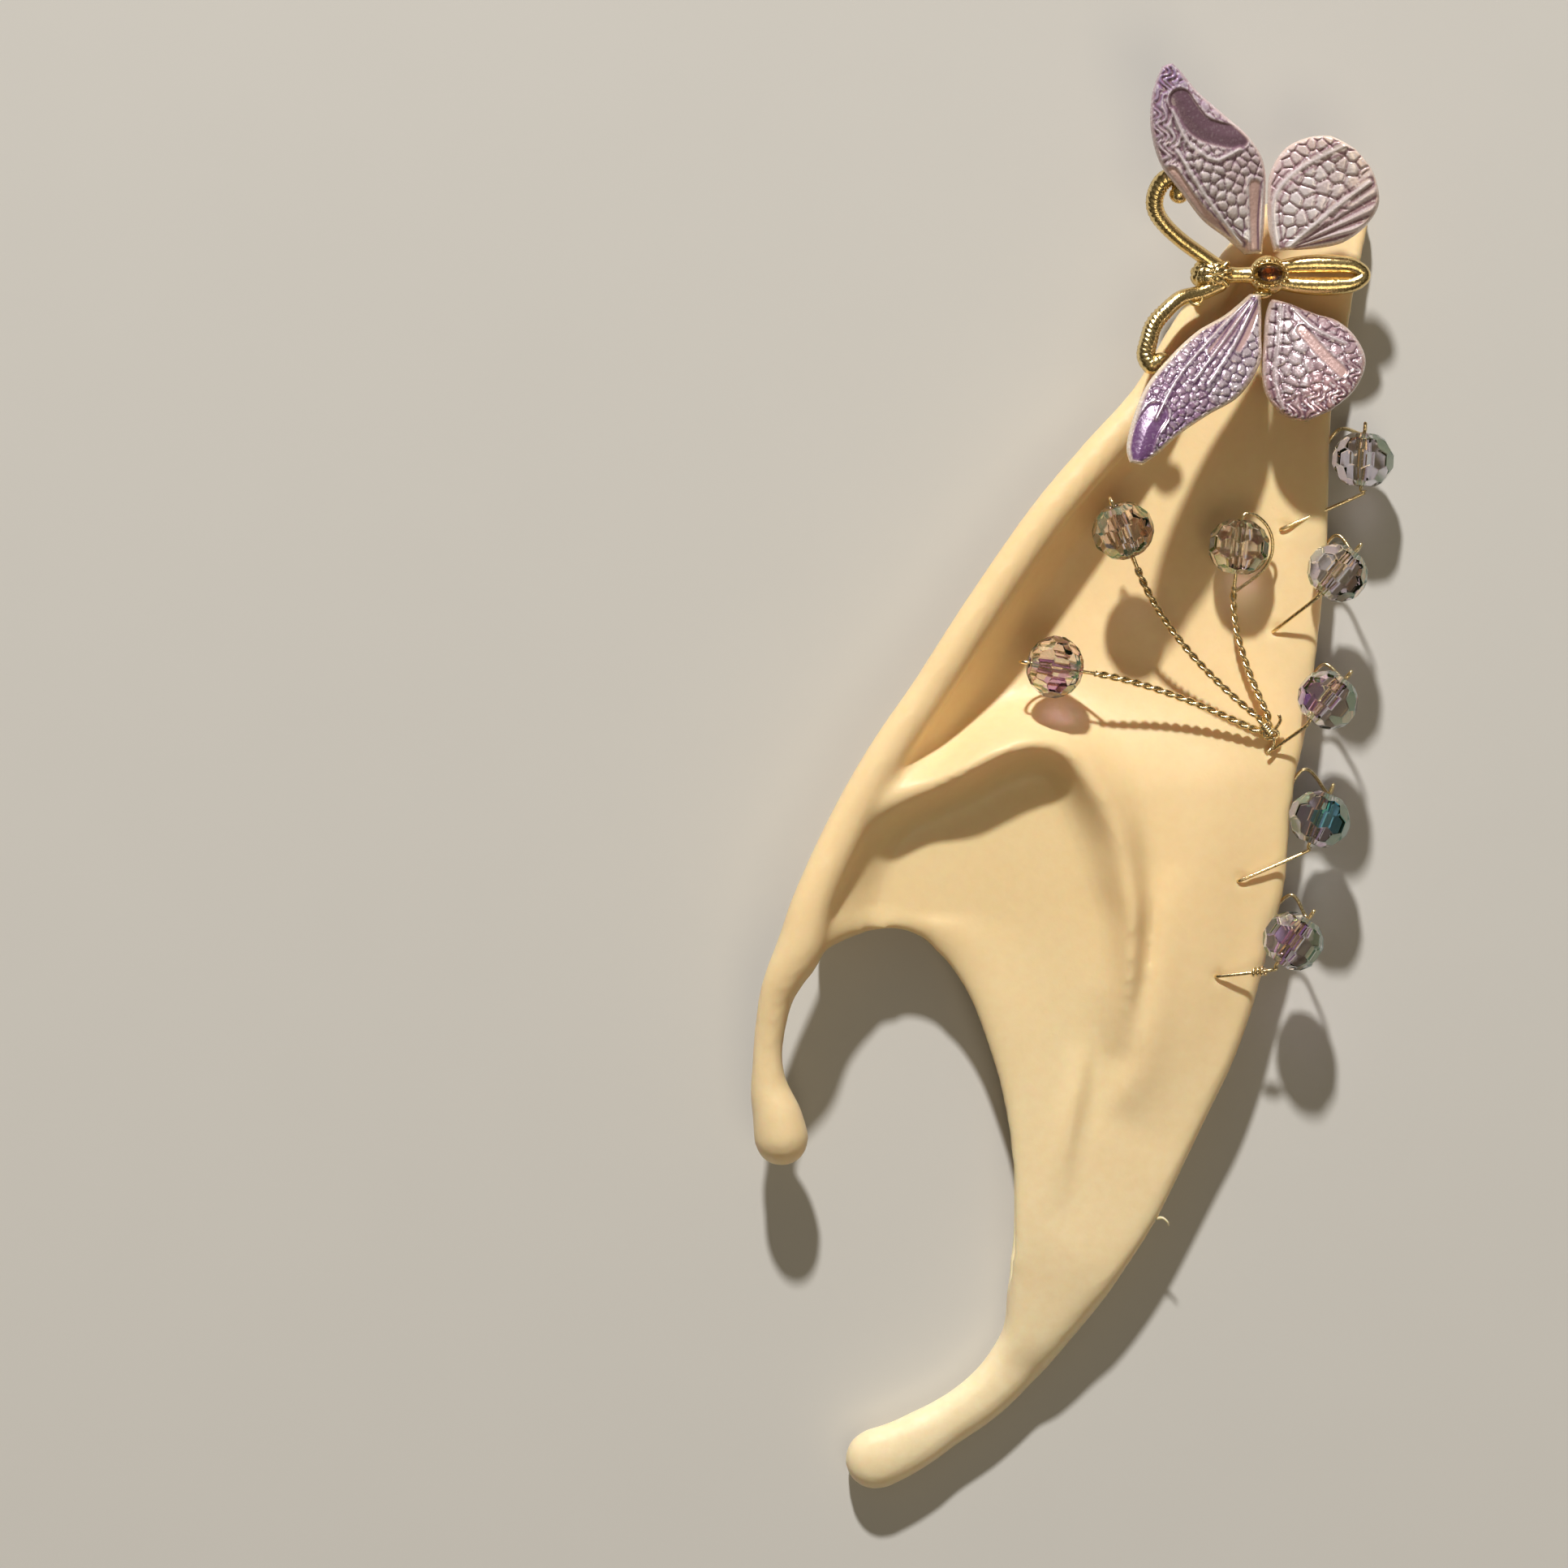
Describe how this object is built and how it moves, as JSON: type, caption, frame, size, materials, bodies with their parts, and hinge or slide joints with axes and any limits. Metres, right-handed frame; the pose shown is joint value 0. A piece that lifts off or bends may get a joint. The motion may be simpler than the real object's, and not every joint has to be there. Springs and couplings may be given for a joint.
{
  "type": "elf ear tip with a butterfly ornament and wired beads",
  "caption": "Slip-on pointed ear of moulded latex with a hollow pocket, a butterfly ornament at its point and faceted beads wired on.",
  "frame": {"origin": "bottom centre of the bounding box, on the flat back", "axes": "+X across the ear to its outer edge, +Y up to its point, +Z out of its face"},
  "size_m": [0.084, 0.186, 0.0225],
  "materials": {
    "latex": "satin",
    "gold": "polished",
    "crystal": "polished",
    "amber_glass": "polished",
    "violet_resin": "gloss",
    "pink_resin": "gloss"
  },
  "bodies": {
    "root": {"ear_shell": "latex", "butterfly_frame": "gold", "thorax_stone": "amber_glass", "forewing_upper": "violet_resin", "forewing_lower": "violet_resin", "hindwing_upper": "pink_resin", "hindwing_lower": "pink_resin", "edge_bead_1": "crystal", "edge_bead_2": "crystal", "edge_bead_3": "crystal", "edge_bead_4": "crystal", "edge_bead_5": "crystal", "edge_wire_1": "gold", "edge_wire_2": "gold", "edge_wire_3": "gold", "edge_wire_4": "gold", "edge_wire_5": "gold", "spray_bead_a": "crystal", "spray_bead_b": "crystal", "spray_bead_c": "crystal", "spray_wire_a": "gold", "spray_wire_b": "gold", "spray_wire_c": "gold", "spray_hub": "gold"}
  },
  "joints": []
}
